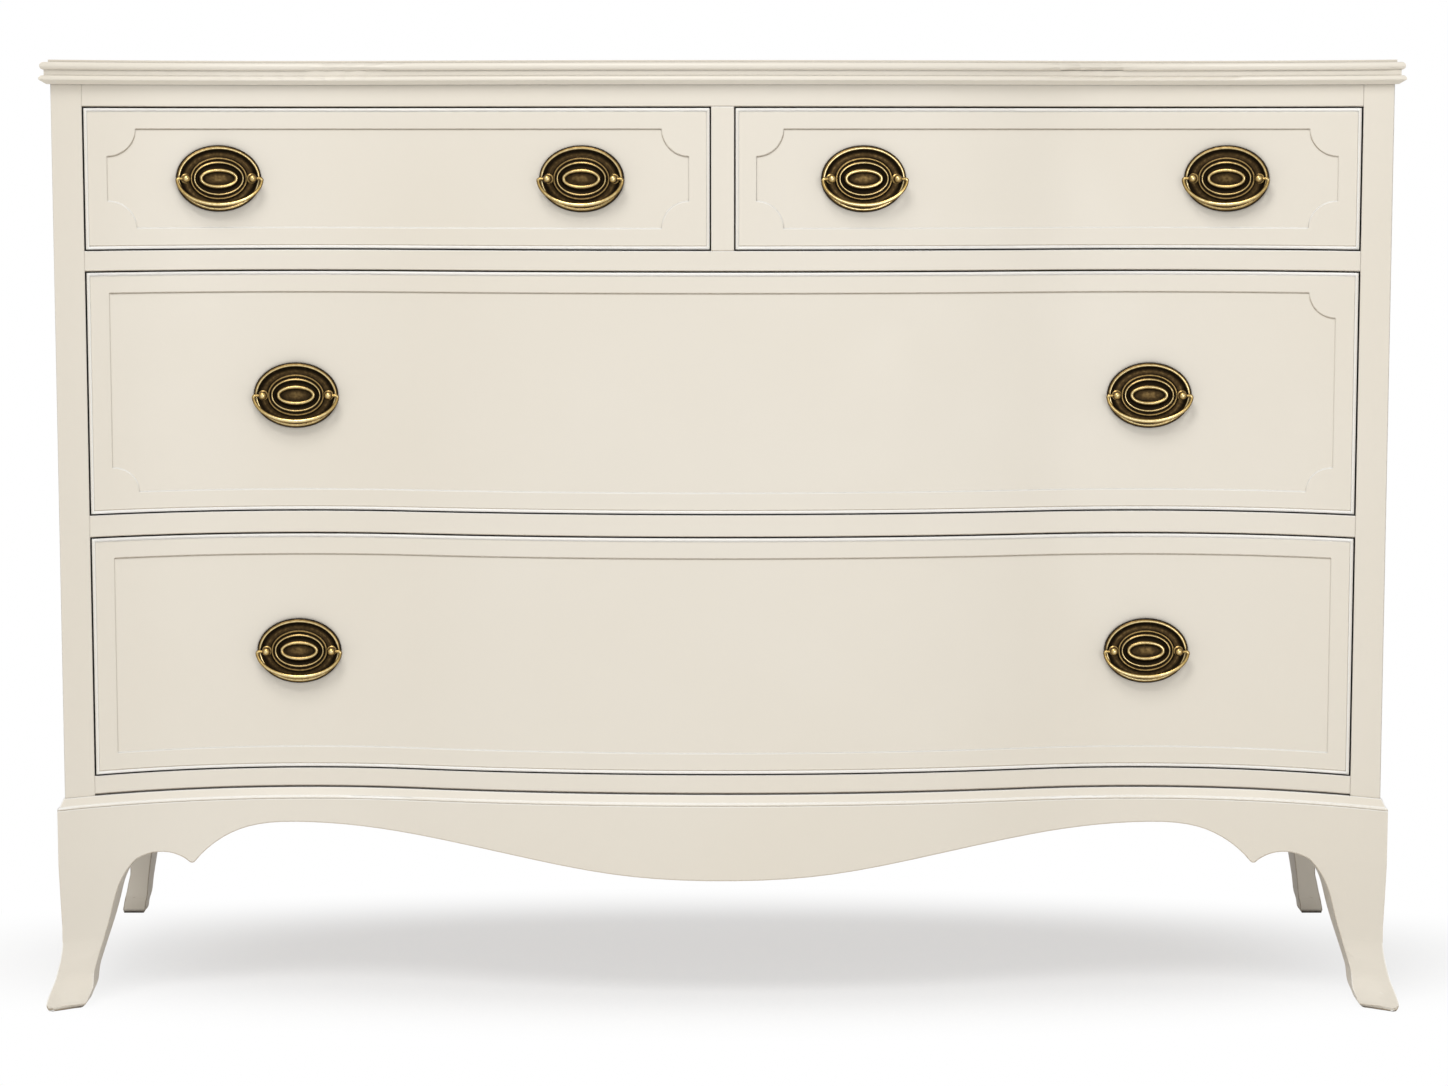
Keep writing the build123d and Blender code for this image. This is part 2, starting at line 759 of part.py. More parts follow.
def pull_hardware(name, seats):
    with BuildPart() as plates:
        with Locations(*seats):
            add(plate.part)
    save(plates.part, f"{name}_pull_plates")

    with BuildPart() as posts:
        for seat in seats:
            for post_side in (-1, 1):
                across = post_side * half_spacing
                behind = max(nut_place(seat, across + step * nut_width) for step in (-1, 0, 1)) + seat_gap
                with BuildSketch(seat.offset(-behind - nut_height - thread_end)):
                    with Locations((across, 0)):
                        Circle(shank_radius)
                extrude(amount=behind + nut_height + thread_end + plate_base)
                with BuildSketch(seat.offset(-behind - nut_height)):
                    with Locations((across, 0)):
                        RegularPolygon(nut_width / 2, 6, major_radius=False)
                extrude(amount=nut_height)
                with BuildSketch(seat.offset(plate_base)):
                    with Locations((across, 0)):
                        Circle(neck_radius)
                extrude(amount=bail_stand - plate_base)
                with Locations(seat.from_local_coords(Vector(across, 0, bail_stand))):
                    Sphere(ball_radius, rotation=(0, 0, -90))
                hole_start = Vector(across + post_side * (ball_radius + overrun), 0, bail_stand)
                hole_plane = Plane(origin=seat.from_local_coords(hole_start), z_dir=seat.x_dir * -post_side)
                with BuildSketch(hole_plane):
                    Circle(pin_radius + pin_gap)
                extrude(amount=overrun + pin_depth + pin_gap, mode=Mode.SUBTRACT)
    save(posts.part, f"{name}_pull_posts")

    for seat, side_name in zip(seats, ("left", "right")):
        with BuildPart() as hung_bail:
            with Locations(seat):
                add(bail.part)
        save(hung_bail.part, f"{name}_{side_name}_bail")


# Drawers: bowed fronts with a cock bead round them, and boxes joined with dovetails


def tails(y_shoulder, y_tip, z_low, z_high):
    """Dovetails along an edge from z_low to z_high: narrow at the shoulder and wide at the tip."""
    count = round((z_high - z_low) / tail_spacing)
    pitch = (z_high - z_low) / count
    spread = abs(y_tip - y_shoulder) * tan(radians(tail_angle))
    half_neck = pitch * tail_width_share / 2 - spread / 2
    for number in range(count):
        z_middle = z_low + pitch * (number + 1 / 2)
        Polygon(
            (y_shoulder, z_middle - half_neck),
            (y_tip, z_middle - half_neck - spread),
            (y_tip, z_middle + half_neck + spread),
            (y_shoulder, z_middle + half_neck),
            align=None,
        )


def drawer(name, left_x, right_x, z_low, z_high, scoop_radius, scoops, pulls):
    x_from = left_x + front_gap
    x_to = right_x - front_gap
    front_low = z_low + front_gap
    front_high = z_high - front_gap
    box_low = z_low + running_gap
    box_high = z_high - side_drop
    groove_z = box_low + bottom_rise
    back_low = groove_z + bottom_thickness
    inner_from = x_from + drawer_side_thickness
    inner_to = x_to - drawer_side_thickness
    middle_x = (x_from + x_to) / 2
    middle_z_here = (front_low + front_high) / 2
    ends = (
        (x_from, 1, front_y(inner_from, -front_thickness)),
        (x_to, -1, front_y(inner_to, -front_thickness)),
    )
    seats = [pull_seat(x, z) for x, z in pulls]

    # The field's outline, with a quarter circle scooped out of the corners that have one
    with BuildPart() as field:
        with BuildSketch(Plane.XY.offset(front_low)):
            with BuildLine():
                bowed_band(x_from, x_to, bead_proud, -field_depth)
            make_face()
        extrude(amount=front_high - front_low)
        with BuildSketch(Plane.XZ.offset(-case_back_y)):
            low_corner = (left_x + border_width, z_low + border_width)
            high_corner = (right_x - border_width, z_high - border_width)
            with Locations(((low_corner[0] + high_corner[0]) / 2, (low_corner[1] + high_corner[1]) / 2)):
                Rectangle(high_corner[0] - low_corner[0], high_corner[1] - low_corner[1])
            corners = {
                "low_left": low_corner,
                "high_left": (low_corner[0], high_corner[1]),
                "low_right": (high_corner[0], low_corner[1]),
                "high_right": high_corner,
            }
            for corner in scoops:
                with Locations(corners[corner]):
                    Circle(scoop_radius, mode=Mode.SUBTRACT)
        extrude(amount=case_depth + toe_reach, mode=Mode.INTERSECT)

    # The cock bead: a thin frame let into the front's edges
    with BuildPart() as bead:
        with BuildSketch(Plane.XY.offset(front_low)):
            with BuildLine():
                bowed_band(x_from, x_to, bead_proud, -bead_depth)
            make_face()
        extrude(amount=front_high - front_low)
        with BuildSketch(Plane.XZ.offset(-case_back_y)):
            with Locations((middle_x, middle_z_here)):
                Rectangle(x_to - x_from, front_high - front_low)
                Rectangle(
                    x_to - x_from - 2 * bead_width, front_high - front_low - 2 * bead_width, mode=Mode.SUBTRACT
                )
        extrude(amount=case_depth + toe_reach, mode=Mode.INTERSECT)
    with BuildPart() as rounded_bead:
        add(bead.part)
        nose_edges = [
            edge
            for edge in rounded_bead.edges()
            if edge.length > 2 * bead_width
            and abs((edge @ (1 / 2)).Y - front_y((edge @ (1 / 2)).X, bead_proud)) < running_gap
        ]
        fillet(nose_edges, radius=bead_round)
    save(rounded_bead.part, f"{name}_cock_bead")

    with BuildPart() as front:
        with BuildSketch(Plane.XY.offset(front_low)):
            with BuildLine():
                serpentine(x_from, x_to, 0)
                serpentine(inner_from, inner_to, -front_thickness)
                for end_x, inward, land_y in ends:
                    Polyline(
                        front_point(end_x, 0),
                        (end_x, land_y),
                        (end_x + inward * drawer_side_thickness, land_y),
                    )
            make_face()
        extrude(amount=front_high - front_low)
        add(bead.part, mode=Mode.SUBTRACT)
        add(field.part, mode=Mode.SUBTRACT)
        with BuildSketch(Plane.XY.offset(groove_z - fit_gap / 2)):
            with BuildLine():
                bowed_band(inner_from, inner_to, groove_depth - front_thickness, -front_thickness - overrun)
            make_face()
        extrude(amount=bottom_thickness + fit_gap, mode=Mode.SUBTRACT)
        for end_x, inward, land_y in ends:
            with BuildSketch(Plane.YZ.offset(end_x)):
                tails(land_y, land_y - tail_length, box_low, box_high)
            extrude(amount=inward * drawer_side_thickness, mode=Mode.SUBTRACT)
        for seat in seats:
            with BuildSketch(seat):
                with Locations((-post_spacing / 2, 0), (post_spacing / 2, 0)):
                    Circle(shank_radius + shank_gap)
            extrude(amount=-2 * front_thickness, mode=Mode.SUBTRACT)
    save(front.part, f"{name}_front")

    with BuildPart() as sides:
        for end_x, inward, land_y in ends:
            with BuildSketch(Plane.YZ.offset(end_x)):
                shoulder_y = drawer_back_y - drawer_back_thickness
                with Locations(((land_y + shoulder_y) / 2, (box_low + box_high) / 2)):
                    Rectangle(shoulder_y - land_y, box_high - box_low)
                tails(land_y, land_y - tail_length, box_low, box_high)
                tails(drawer_back_y - drawer_back_thickness, drawer_back_y, back_low, box_high)
            extrude(amount=inward * drawer_side_thickness)
            inner_x = end_x + inward * drawer_side_thickness
            with BuildSketch(Plane.XY.offset(groove_z - fit_gap / 2)):
                with Locations((inner_x, (land_y + drawer_back_y) / 2)):
                    Rectangle(2 * groove_depth, drawer_back_y - land_y, mode=Mode.ADD)
            extrude(amount=bottom_thickness + fit_gap, mode=Mode.SUBTRACT)
    save(sides.part, f"{name}_sides")

    with BuildPart() as back:
        with BuildSketch(Plane.XY.offset(back_low)):
            with Locations((middle_x, drawer_back_y - drawer_back_thickness / 2)):
                Rectangle(x_to - x_from, drawer_back_thickness)
        extrude(amount=box_high - back_low)
        for end_x, inward, land_y in ends:
            with BuildSketch(Plane.YZ.offset(end_x)):
                tails(drawer_back_y - drawer_back_thickness, drawer_back_y, back_low, box_high)
            extrude(amount=inward * drawer_side_thickness, mode=Mode.SUBTRACT)
    save(back.part, f"{name}_back")

    with BuildPart() as bottom:
        with BuildSketch(Plane.XY.offset(groove_z)):
            with BuildLine():
                bowed_board(inner_from, inner_to, groove_depth - fit_gap - front_thickness, drawer_back_y)
            make_face()
            for end_x, inward, land_y in ends:
                inner_x = end_x + inward * drawer_side_thickness
                with Locations((inner_x, (land_y + fit_gap + drawer_back_y) / 2)):
                    Rectangle(2 * (groove_depth - fit_gap), drawer_back_y - land_y - fit_gap)
        extrude(amount=bottom_thickness)
    save(bottom.part, f"{name}_bottom")

    pull_hardware(name, seats)


every_corner = ("low_left", "high_left", "low_right", "high_right")
inner_pull = stile_width / 2 + short_pull_inset
outer_pull = half_opening - short_pull_inset
long_pull = half_opening - long_pull_inset
short_height = upper_z + upper_opening / 2
middle_height = middle_z + middle_opening / 2 - middle_pull_drop
lower_height = lower_z + lower_opening / 2
drawer(
    "upper_left",
    -half_opening,
    -stile_width / 2,
    upper_z,
    top_rail_z,
    short_scoop_radius,
    every_corner,
    ((-outer_pull, short_height), (-inner_pull, short_height)),
)
drawer(
    "upper_right",
    stile_width / 2,
    half_opening,
    upper_z,
    top_rail_z,
    short_scoop_radius,
    every_corner,
    ((inner_pull, short_height), (outer_pull, short_height)),
)
drawer(
    "middle",
    -half_opening,
    half_opening,
    middle_z,
    upper_rail_z,
    long_scoop_radius,
    ("low_left", "low_right", "high_right"),
    ((-long_pull, middle_height), (long_pull, middle_height)),
)
drawer(
    "lower",
    -half_opening,
    half_opening,
    lower_z,
    middle_rail_z,
    long_scoop_radius,
    (),
    ((-long_pull, lower_height), (long_pull, lower_height)),
)
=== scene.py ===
# %% [markdown]
# # A painted serpentine dresser
# The dresser's boards, drawers and pulls come as a fixed frame of solids. This lesson paints the
# case, grains the bare wood inside, and recasts the brass pulls with the fine relief that the
# solids leave out.

# %% Load the frame
import json
from math import cos, pi, radians, sin, sqrt

import bmesh
import bpy
from mathutils import Matrix, Vector


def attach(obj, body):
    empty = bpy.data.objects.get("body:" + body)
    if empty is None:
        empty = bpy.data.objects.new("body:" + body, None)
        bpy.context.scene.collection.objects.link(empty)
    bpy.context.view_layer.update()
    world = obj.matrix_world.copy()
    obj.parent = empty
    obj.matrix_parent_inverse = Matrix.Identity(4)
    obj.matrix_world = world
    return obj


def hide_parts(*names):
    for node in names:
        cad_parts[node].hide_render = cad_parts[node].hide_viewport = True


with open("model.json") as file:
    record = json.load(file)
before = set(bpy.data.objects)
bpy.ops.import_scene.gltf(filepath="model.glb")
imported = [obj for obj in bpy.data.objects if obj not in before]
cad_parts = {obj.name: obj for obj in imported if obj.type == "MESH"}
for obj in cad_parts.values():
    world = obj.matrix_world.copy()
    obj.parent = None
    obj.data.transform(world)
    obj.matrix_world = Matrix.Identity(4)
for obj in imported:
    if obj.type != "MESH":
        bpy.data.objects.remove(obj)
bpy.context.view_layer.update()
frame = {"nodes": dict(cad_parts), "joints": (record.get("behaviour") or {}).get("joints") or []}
nodes = frame["nodes"]

# %% [markdown]
# ## The camera
# A catalogue picture of a wide chest is taken from far off with a long lens, so that the sides stay
# upright. The camera stands a little below the top's height and looks slightly down. The picture's
# frame is shifted up on the lens, which is how a photographer keeps the whole chest in view without
# tilting further.

# %% Camera
MM = 0.001
IMAGE_WIDTH, IMAGE_HEIGHT = 1448, 1086
FOCAL_PIXELS = 4293.5  # the lens's focal length, in the picture's pixels
AXIS_ROW = 711.4  # the picture row that the lens looks along
SENSOR_WIDTH = 36.0
CAMERA_PLACE = Vector((1.3, -4276.2, 825.9)) * MM
CAMERA_PITCH = radians(7.651)

camera_data = bpy.data.cameras.new("camera")
camera_data.sensor_width = SENSOR_WIDTH
camera_data.lens = FOCAL_PIXELS / IMAGE_WIDTH * SENSOR_WIDTH
camera_data.shift_y = (AXIS_ROW - IMAGE_HEIGHT / 2) / IMAGE_WIDTH
camera = bpy.data.objects.new("camera", camera_data)
camera.location = CAMERA_PLACE
camera.rotation_euler = (pi / 2 - CAMERA_PITCH, 0, 0)
bpy.context.collection.objects.link(camera)
bpy.context.scene.camera = camera
print("lens", round(camera_data.lens, 1), "mm, shift", round(camera_data.shift_y, 4))

# %% [markdown]
# ## Node helpers
# Each finish is a small node tree. These helpers add a node and its links, lay a colour ramp, mix
# two colours, do sums, and make noise and bumps, so that the cells below read as a list of what the
# finish is made of.


# %% Node helpers
def new_material(name, roughness, metallic=0.0):
    """A material with its shader ready, and a function that adds a node to it."""
    material = bpy.data.materials.new(name)
    material.use_nodes = True
    tree = material.node_tree
    shader = tree.nodes["Principled BSDF"]
    shader.inputs["Roughness"].default_value = roughness
    shader.inputs["Metallic"].default_value = metallic

    def add(kind, inputs=(), **settings):
        node = tree.nodes.new(kind)
        for key, value in settings.items():
            setattr(node, key, value)
        for key, value in dict(inputs).items():
            if isinstance(value, bpy.types.NodeSocket):
                tree.links.new(value, node.inputs[key])
            else:
                node.inputs[key].default_value = value
        return node

    return material, tree, shader, add


def object_coordinates(add, scale=(1, 1, 1)):
    """Object coordinates, stretched by a Mapping node."""
    place = add("ShaderNodeTexCoord")
    inputs = {"Vector": place.outputs["Object"], "Scale": scale}
    return add("ShaderNodeMapping", inputs).outputs["Vector"]


def ramp(add, value, *stops):
    """A colour ramp through (position, colour) stops."""
    node = add("ShaderNodeValToRGB", {"Fac": value})
    while len(node.color_ramp.elements) < len(stops):
        node.color_ramp.elements.new(1.0)
    for element, (position, colour) in zip(node.color_ramp.elements, stops):
        element.position = position
        element.color = (*colour, 1.0)
    return node.outputs["Color"]


MIX_AMOUNT, MIX_UNDER, MIX_OVER, MIX_RESULT = 0, 6, 7, 2  # a colour Mix node's own socket numbers


def mix(add, amount, under, over):
    """One colour laid over another, by an amount from 0 to 1."""
    sockets = {MIX_AMOUNT: amount, MIX_UNDER: under, MIX_OVER: over}
    return add("ShaderNodeMix", sockets, data_type="RGBA").outputs[MIX_RESULT]


def maths(add, operation, *values):
    """One sum, product or other operation on numbers or sockets."""
    return add("ShaderNodeMath", dict(enumerate(values)), operation=operation).outputs[0]


def noise(add, place, scale, detail, distortion=0.0):
    """Noise at a place; its scale is how many cells it has in a metre."""
    inputs = {"Vector": place, "Scale": scale, "Detail": detail, "Distortion": distortion}
    return add("ShaderNodeTexNoise", inputs).outputs["Fac"]


def bumped(add, height, strength, distance):
    """A Bump node that raises the surface by a height; its distance is in metres."""
    return add("ShaderNodeBump", {"Height": height, "Strength": strength, "Distance": distance})


def grey(value):
    """A grey, from one value for all three channels."""
    return (value,) * 3


BLACK, WHITE = grey(0), grey(1)
print("node helpers ready")

# %% [markdown]
# ## Cream paint
# The case is sprayed in a warm cream with a satin sheen. Real paint on wood isn't one flat colour:
# it warms and cools a little over a hand's width, the sheen varies where it was rubbed down, and a
# very fine orange peel stands in the film. All three come from noise on Object coordinates, at
# their real scales. In gaps, quirks and inner corners the colour carries a painted shade, which an
# Ambient Occlusion node finds. Along a step a painted highlight lightens the edge that looks up and
# a painted shade darkens the edge that looks down, and a Bevel node tells which: its rounded normal
# leans up or down there. A cock bead gets a painted highlight on every side.

# %% Cream paint
CREAM = (0.812, 0.757, 0.660, 1.0)
CREAM_WARM = (0.795, 0.735, 0.630, 1.0)
# painted shade: a near-black cream laid into gaps, quirks and inner corners
CREAM_GAP_SHADE = (0.022, 0.011, 0.004, 1.0)
# painted shade on edges that look down
CREAM_EDGE_SHADE = (0.360, 0.275, 0.180, 1.0)
# painted highlight on edges that look up, and on every side of a cock bead
CREAM_EDGE_HIGHLIGHT = (1.000, 0.985, 0.940, 1.0)
SATIN = 0.42  # roughness
EDGE_ROUNDING = 0.0018  # metres: sprayed edges are never quite sharp
BEAD_ROUNDING = 0.0030
GAP_REACH = 0.007  # metres: how far round a point the paint looks for its neighbours
CLOUD_STOPS = ((0.35, BLACK), (0.7, WHITE))  # from the cool cream to the warm one
GAP_SHADE_STOPS = ((0.28, WHITE), (0.52, grey(0.22)), (0.74, BLACK))  # less open air, more painted shade
CLEAR_STOPS = ((0.20, BLACK), (0.40, WHITE))  # the painted highlight stays out of gaps and inner corners
SHEEN_STOPS = ((0.3, grey(0.36)), (0.7, grey(0.48)))  # roughness
EDGE_STOPS = ((0.965, WHITE), (0.997, BLACK))  # where the rounded normal leaves the flat one
EDGE_SHADE_STOPS = ((0.04, BLACK), (0.16, WHITE))
EDGE_HIGHLIGHT_STOPS = ((0.05, BLACK), (0.20, WHITE))
SIDE_LEAN = 0.30  # a bead's side edges have to lean further than its top and bottom


def bead_turn(add, lean):
    """How far a bead's rounded normal leans up, down or to a side."""
    upright = maths(add, "ABSOLUTE", lean.outputs["Z"])
    aside = maths(add, "ABSOLUTE", lean.outputs["X"])
    return maths(add, "MAXIMUM", upright, maths(add, "SUBTRACT", aside, SIDE_LEAN))


def edge_turn(add, lean, rounded):
    """How far an edge's rounded normal leans up, above 0, or down; 0 on the flat."""
    shape = add("ShaderNodeNewGeometry")
    normals = {0: rounded.outputs["Normal"], 1: shape.outputs["True Normal"]}
    same = add("ShaderNodeVectorMath", normals, operation="DOT_PRODUCT")
    edge = ramp(add, same.outputs["Value"], *EDGE_STOPS)
    return maths(add, "MULTIPLY", lean.outputs["Z"], edge)


def cream_paint(name, edges="board"):
    """Paint for a board, a bead, a piece joined without a line, or a rounded moulding."""
    material, tree, shader, add = new_material(name, SATIN)
    place = object_coordinates(add)
    cloud = ramp(add, noise(add, place, scale=2.6, detail=3.0), *CLOUD_STOPS)
    tone = mix(add, cloud, CREAM, CREAM_WARM)
    # Painted shade: an Ambient Occlusion node darkens the cream in gaps, quirks and inner corners.
    open_air = add("ShaderNodeAmbientOcclusion", {"Distance": GAP_REACH}, samples=6)
    gap_shade = ramp(add, open_air.outputs["AO"], *GAP_SHADE_STOPS)
    tone = mix(add, gap_shade, tone, CREAM_GAP_SHADE)
    sheen = ramp(add, noise(add, place, scale=14.0, detail=4.0), *SHEEN_STOPS)
    grit = noise(add, place, scale=420.0, detail=2.0)
    peel = bumped(add, grit, strength=0.05, distance=0.0006)
    if edges != "moulded":
        radius = BEAD_ROUNDING if edges == "bead" else EDGE_ROUNDING
        rounded = add("ShaderNodeBevel", {"Radius": radius}, samples=4)
        if edges != "joined":
            tree.links.new(rounded.outputs["Normal"], peel.inputs["Normal"])
        lean = add("ShaderNodeSeparateXYZ", {"Vector": rounded.outputs["Normal"]})
        if edges == "bead":
            turned = bead_turn(add, lean)
        else:
            turned = edge_turn(add, lean, rounded)
            # Painted shade: an edge whose rounded normal leans down is darkened towards a brown.
            edge_shade = ramp(add, maths(add, "MULTIPLY", turned, -1.0), *EDGE_SHADE_STOPS)
            tone = mix(add, edge_shade, tone, CREAM_EDGE_SHADE)
        # Painted highlight: edges whose rounded normal leans up, and a bead on every side, are
        # lightened, but not inside gaps.
        clear = ramp(add, open_air.outputs["AO"], *CLEAR_STOPS)
        edge_highlight = ramp(add, turned, *EDGE_HIGHLIGHT_STOPS)
        tone = mix(add, maths(add, "MULTIPLY", edge_highlight, clear), tone, CREAM_EDGE_HIGHLIGHT)
    tree.links.new(tone, shader.inputs["Base Color"])
    tree.links.new(sheen, shader.inputs["Roughness"])
    tree.links.new(peel.outputs["Normal"], shader.inputs["Normal"])
    return material


PAINT = cream_paint("cream_paint")
BEAD_PAINT = cream_paint("cream_paint_bead", edges="bead")
JOINED_PAINT = cream_paint("cream_paint_joined", edges="joined")
MOULDED_PAINT = cream_paint("cream_paint_moulded", edges="moulded")
print("paints", [paint.name for paint in (PAINT, BEAD_PAINT, JOINED_PAINT, MOULDED_PAINT)])

# %% [markdown]
# ## Bare wood
# Inside, drawer boxes, runners and blocks are unpainted poplar and oak. Grain runs along each
# board, so the material stretches its noise along one axis, and each set of boards gets the axis
# that it was cut along.

# %% Bare wood
GRAIN_STRETCH = 0.06  # how much slower the pattern changes along the grain
GRAIN_STOPS = (0.38, 0.52, 0.66)  # dark, light and dark again
PORE_STOPS = ((0.36, WHITE), (0.46, BLACK))
PORE_SHADE = 0.6  # a pore's tone, as a share of the dark grain's
BARE_ROUGHNESS = 0.62


def bare_wood(name, light, dark, along, pores=0.35):
    """Wood with its grain along one axis, 0 for X, 1 for Y and 2 for Z; pores is their depth."""
    material, tree, shader, add = new_material(name, BARE_ROUGHNESS)
    stretch = [1.0, 1.0, 1.0]
    stretch[along] = GRAIN_STRETCH
    place = object_coordinates(add, scale=stretch)
    rings = noise(add, place, scale=28.0, detail=5.0, distortion=0.8)
    board = noise(add, place, scale=6.0, detail=2.0)
    fibre = noise(add, place, scale=520.0, detail=3.0)
    grain = ramp(add, rings, *zip(GRAIN_STOPS, (dark, light, dark)))
    toned = mix(add, board, grain, (*light, 1.0))
    pore = ramp(add, fibre, *PORE_STOPS)
    pore_tone = (*[PORE_SHADE * channel for channel in dark], 1.0)
    colour = mix(add, maths(add, "MULTIPLY", pore, pores), toned, pore_tone)
    bump = bumped(add, fibre, strength=0.12, distance=0.0005)
    tree.links.new(colour, shader.inputs["Base Color"])
    tree.links.new(bump.outputs["Normal"], shader.inputs["Normal"])
    return material


POPLAR = ((0.55, 0.42, 0.26), (0.42, 0.30, 0.17))
OAK = ((0.48, 0.33, 0.18), (0.33, 0.21, 0.10))
BACK_BOARD = ((0.40, 0.29, 0.18), (0.31, 0.21, 0.12))
wood_across = bare_wood("poplar_across", *POPLAR, along=0)
wood_deep = bare_wood("poplar_deep", *POPLAR, along=1)
wood_upright = bare_wood("poplar_upright", *POPLAR, along=2)
oak_across = bare_wood("oak_across", *OAK, along=0)
oak_deep = bare_wood("oak_deep", *OAK, along=1)
back_wood = bare_wood("back_board", *BACK_BOARD, along=2, pores=0.2)
woods = (wood_across, wood_deep, wood_upright, oak_across, oak_deep, back_wood)
print("woods", [wood.name for wood in woods])

# %% [markdown]
# ## Antique brass
# The pulls' plates are pressed, their posts turned and their bails cast, all in brass that is
# darkened in a bath and rubbed bright again on the high places. So the finish needs to know where
# the high places are: each pull's mesh carries a value called rub, which is 1 on a crest and 0 in a
# valley, and the material lays dark patina over gold by it. The rub is also lowered on faces that
# turn away from the front, which is partly wear and partly painted shade on the flanks. Noise
# breaks up the patina's edge.

# %% Antique brass
PATINA_STOPS = (
    (0.06, (0.012, 0.008, 0.004)),
    (0.28, (0.060, 0.037, 0.015)),
    (0.55, (0.300, 0.195, 0.075)),
    (0.78, (0.500, 0.345, 0.115)),
    (0.97, (0.940, 0.790, 0.450)),
)
GLOSS_STOPS = ((0.1, grey(0.5)), (0.9, grey(0.2)))  # roughness
NOISE_MIDDLE = 0.5
PATINA_SPREAD = 0.3  # how far the noise shifts the patina's edge


def antique_brass():
    """Patina in the valleys and bright brass on the crests, by the mesh's rub value."""
    material, tree, shader, add = new_material("antique_brass", roughness=0.3, metallic=1.0)
    worn = add("ShaderNodeAttribute", attribute_name="rub")
    grime = noise(add, object_coordinates(add), scale=330.0, detail=5.0)
    spread = maths(add, "MULTIPLY", maths(add, "SUBTRACT", grime, NOISE_MIDDLE), PATINA_SPREAD)
    height = maths(add, "ADD", worn.outputs["Fac"], spread)
    colour = ramp(add, height, *PATINA_STOPS)
    gloss = ramp(add, height, *GLOSS_STOPS)
    bump = bumped(add, grime, strength=0.1, distance=0.0003)
    tree.links.new(colour, shader.inputs["Base Color"])
    tree.links.new(gloss, shader.inputs["Roughness"])
    tree.links.new(bump.outputs["Normal"], shader.inputs["Normal"])
    return material


BRASS = antique_brass()
print(BRASS.name, len(PATINA_STOPS), "patina tones")

# %% [markdown]
# ## Screw steel
# The back panel's screws are zinc-plated steel: grey, a little cloudy, and brushed by the driver.

# %% Screw steel
STEEL_STOPS = ((0.3, (0.42, 0.42, 0.44)), (0.7, grey(0.58)))


def screw_steel():
    """A slightly cloudy grey metal."""
    material, tree, shader, add = new_material("screw_steel", roughness=0.35, metallic=1.0)
    cloud = noise(add, object_coordinates(add), scale=600.0, detail=3.0)
    tone = ramp(add, cloud, *STEEL_STOPS)
    tree.links.new(tone, shader.inputs["Base Color"])
    return material


STEEL = screw_steel()
print(STEEL.name, "ready")

# %% [markdown]
# ## Who wears what
# Every solid gets its finish by name, and paint where no other is named. Bare boards are grained
# along their length: drawer sides and runners front to back, drawer backs, bottoms and rear rails
# across, and stop blocks, glue blocks and the back panel upright.

# %% Finishes for the solids
DRAWERS = ("upper_left", "upper_right", "middle", "lower")
finish_of = {name: PAINT for name in nodes}
finish_of.update(top_panel=MOULDED_PAINT, top_moulding=MOULDED_PAINT, front_apron=JOINED_PAINT)
for drawer in DRAWERS:
    finish_of[f"{drawer}_cock_bead"] = BEAD_PAINT
    finish_of[f"{drawer}_sides"] = wood_deep
    finish_of[f"{drawer}_back"] = wood_across
    finish_of[f"{drawer}_bottom"] = oak_across
    for brass_part in ("pull_plates", "pull_posts", "left_bail", "right_bail"):
        finish_of[f"{drawer}_{brass_part}"] = BRASS
finish_of.update(
    back_panel=back_wood,
    back_screws=STEEL,
    rear_rails=wood_across,
    drawer_runners=oak_deep,
    drawer_guides=oak_deep,
    drawer_stops=wood_upright,
    rear_base_rail=wood_across,
    glue_blocks=wood_upright,
)
for name, material in finish_of.items():
    mesh = nodes[name].data
    mesh.materials.clear()
    mesh.materials.append(material)
print("finished", len(finish_of), "solids")

# %% [markdown]
# ## Carved front feet
# On the real chest each front foot is carved in one with its wings, glued to the apron, filled and
# painted, so no line shows between them and the flare runs smoothly down to the toe. The solids are
# loose triangles, so a copy of each is merged, its shallow creases are shaded smooth, and the thin
# bottom edge of the toe is rounded with a real bevel. Level cuts give the flare the points that it
# needs to bend in a curve. The points then move by where they are: the copy fills out the hollow
# where the flare begins, the inner corner of the toe, and the back of the ankle, kicks the toe out
# a little, and rounds its tip under.

# %% Carved front feet
SOFT_ANGLE = radians(12)
RIM_ANGLE = radians(32)
SAME_PLACE = 0.001 * MM
ON_THE_FLOOR = 0.1 * MM
TOE_ROUND = 2.2 * MM
FOOT_LEVELS = (1, 2.5, 4, 6, 8, 10, 12, 15, 18, 22, 26, 30, 34, 38, 42, 46, 50, 54, 58, 62, 66)

# The rest is in millimetres. A span is where a move eases in, from none of it to all of it.
FLARE_LEVEL, FLARE_REACH = 45.5, 18  # the height where the flare begins, and its fillet's reach
FLARE_FORWARD, FLARE_ASIDE = 1.9, 0.8
FLARE_FRONT_SPAN, FLARE_SIDE_SPAN = (-205, -222), (610, 625)
BACK_FULLNESS = 22.0
ANKLE_SPANS = ((5, 50), (134, 90))  # heights, from the toe up and from the apron down
FRONT_CORNER = ((-252, 0.38), (-231, 0.08))  # depth at the floor, and how it leans with height
BACK_EDGE = (-227.5, 0.44)
TOE_FULLNESS, TOE_LEAST = 4.0, 0.5  # at the toe's inner corner
TOE_SPAN, INNER_SPAN = (34, 9), (630, 616)
TIP_RADIUS, TIP_HEIGHT = 8.0, 8
TIP_TURN = 0.85  # how much of the quarter circle's width the round runs through
KICK_FORWARD, KICK_ASIDE, KICK_SPAN = 2.5, 1.2, (35, 12)
FRONT_SPAN, OUTSIDE_SPAN = (-225, -245), (612, 630)
FRONT_LIMIT, SIDE_LIMIT = -277.0, 641.5  # the box of the solids


